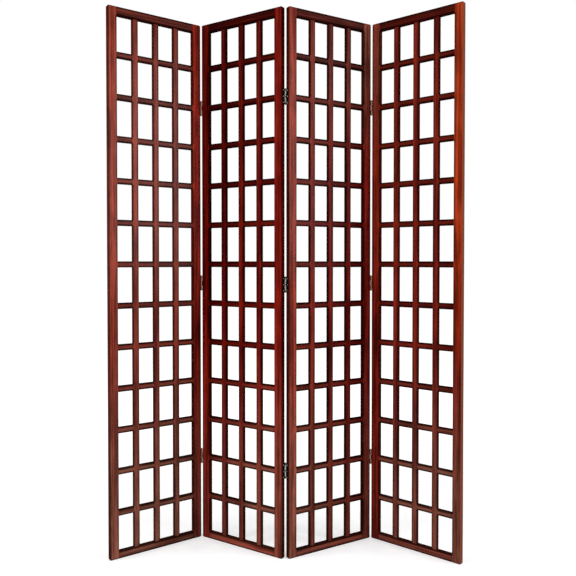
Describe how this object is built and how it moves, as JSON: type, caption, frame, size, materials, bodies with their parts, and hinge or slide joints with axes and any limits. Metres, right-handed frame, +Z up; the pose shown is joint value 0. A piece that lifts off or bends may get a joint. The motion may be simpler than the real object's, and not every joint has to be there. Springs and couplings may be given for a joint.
{
  "type": "folding screen",
  "caption": "Tall free-standing folding screen: wooden frames with an open rectangular slat grid, joined by butt hinges so that they fold zig-zag.",
  "frame": {"origin": "middle of the standing screen's box, on the floor", "axes": "+Z up, the screen's length along X, its front (the side pictured) towards -Y"},
  "size_m": [1.1394, 0.23, 1.78],
  "materials": {
    "frame_wood": "satin red mahogany lacquer",
    "slat_wood": "satin red mahogany lacquer",
    "hinge_leaf": "satin nickel",
    "hinge_pin": "satin nickel"
  },
  "bodies": {
    "panel_1": {"panel_1_stile_left": "frame_wood", "panel_1_stile_right": "frame_wood", "panel_1_rail_top": "frame_wood", "panel_1_rail_bottom": "frame_wood", "panel_1_lattice": "slat_wood", "hinge_12_lower_leaf_1": "hinge_leaf", "hinge_12_lower_pin": "hinge_pin", "hinge_12_middle_leaf_1": "hinge_leaf", "hinge_12_middle_pin": "hinge_pin", "hinge_12_upper_leaf_1": "hinge_leaf", "hinge_12_upper_pin": "hinge_pin"},
    "panel_2": {"panel_2_stile_left": "frame_wood", "panel_2_stile_right": "frame_wood", "panel_2_rail_top": "frame_wood", "panel_2_rail_bottom": "frame_wood", "panel_2_lattice": "slat_wood", "hinge_12_lower_leaf_2": "hinge_leaf", "hinge_12_middle_leaf_2": "hinge_leaf", "hinge_12_upper_leaf_2": "hinge_leaf", "hinge_23_lower_leaf_2": "hinge_leaf", "hinge_23_lower_pin": "hinge_pin", "hinge_23_middle_leaf_2": "hinge_leaf", "hinge_23_middle_pin": "hinge_pin", "hinge_23_upper_leaf_2": "hinge_leaf", "hinge_23_upper_pin": "hinge_pin"},
    "panel_3": {"panel_3_stile_left": "frame_wood", "panel_3_stile_right": "frame_wood", "panel_3_rail_top": "frame_wood", "panel_3_rail_bottom": "frame_wood", "panel_3_lattice": "slat_wood", "hinge_23_lower_leaf_3": "hinge_leaf", "hinge_23_middle_leaf_3": "hinge_leaf", "hinge_23_upper_leaf_3": "hinge_leaf", "hinge_34_lower_leaf_3": "hinge_leaf", "hinge_34_lower_pin": "hinge_pin", "hinge_34_middle_leaf_3": "hinge_leaf", "hinge_34_middle_pin": "hinge_pin", "hinge_34_upper_leaf_3": "hinge_leaf", "hinge_34_upper_pin": "hinge_pin"},
    "panel_4": {"panel_4_stile_left": "frame_wood", "panel_4_stile_right": "frame_wood", "panel_4_rail_top": "frame_wood", "panel_4_rail_bottom": "frame_wood", "panel_4_lattice": "slat_wood", "hinge_34_lower_leaf_4": "hinge_leaf", "hinge_34_middle_leaf_4": "hinge_leaf", "hinge_34_upper_leaf_4": "hinge_leaf"}
  },
  "joints": [
    {"name": "fold_12", "type": "hinge", "parent": "panel_2", "child": "panel_1", "pos_m": [-0.28885, 0.1026, 0.89], "axis": [0, 0, -1], "range_deg": [-112.3, 67.7]},
    {"name": "fold_23", "type": "hinge", "parent": "panel_2", "child": "panel_3", "pos_m": [0.00309, -0.06264, 0.89], "axis": [0, 0, -1], "range_deg": [-117, 63]},
    {"name": "fold_34", "type": "hinge", "parent": "panel_3", "child": "panel_4", "pos_m": [0.30062, 0.09231, 0.89], "axis": [0, 0, 1], "range_deg": [-110.7, 69.3]}
  ]
}
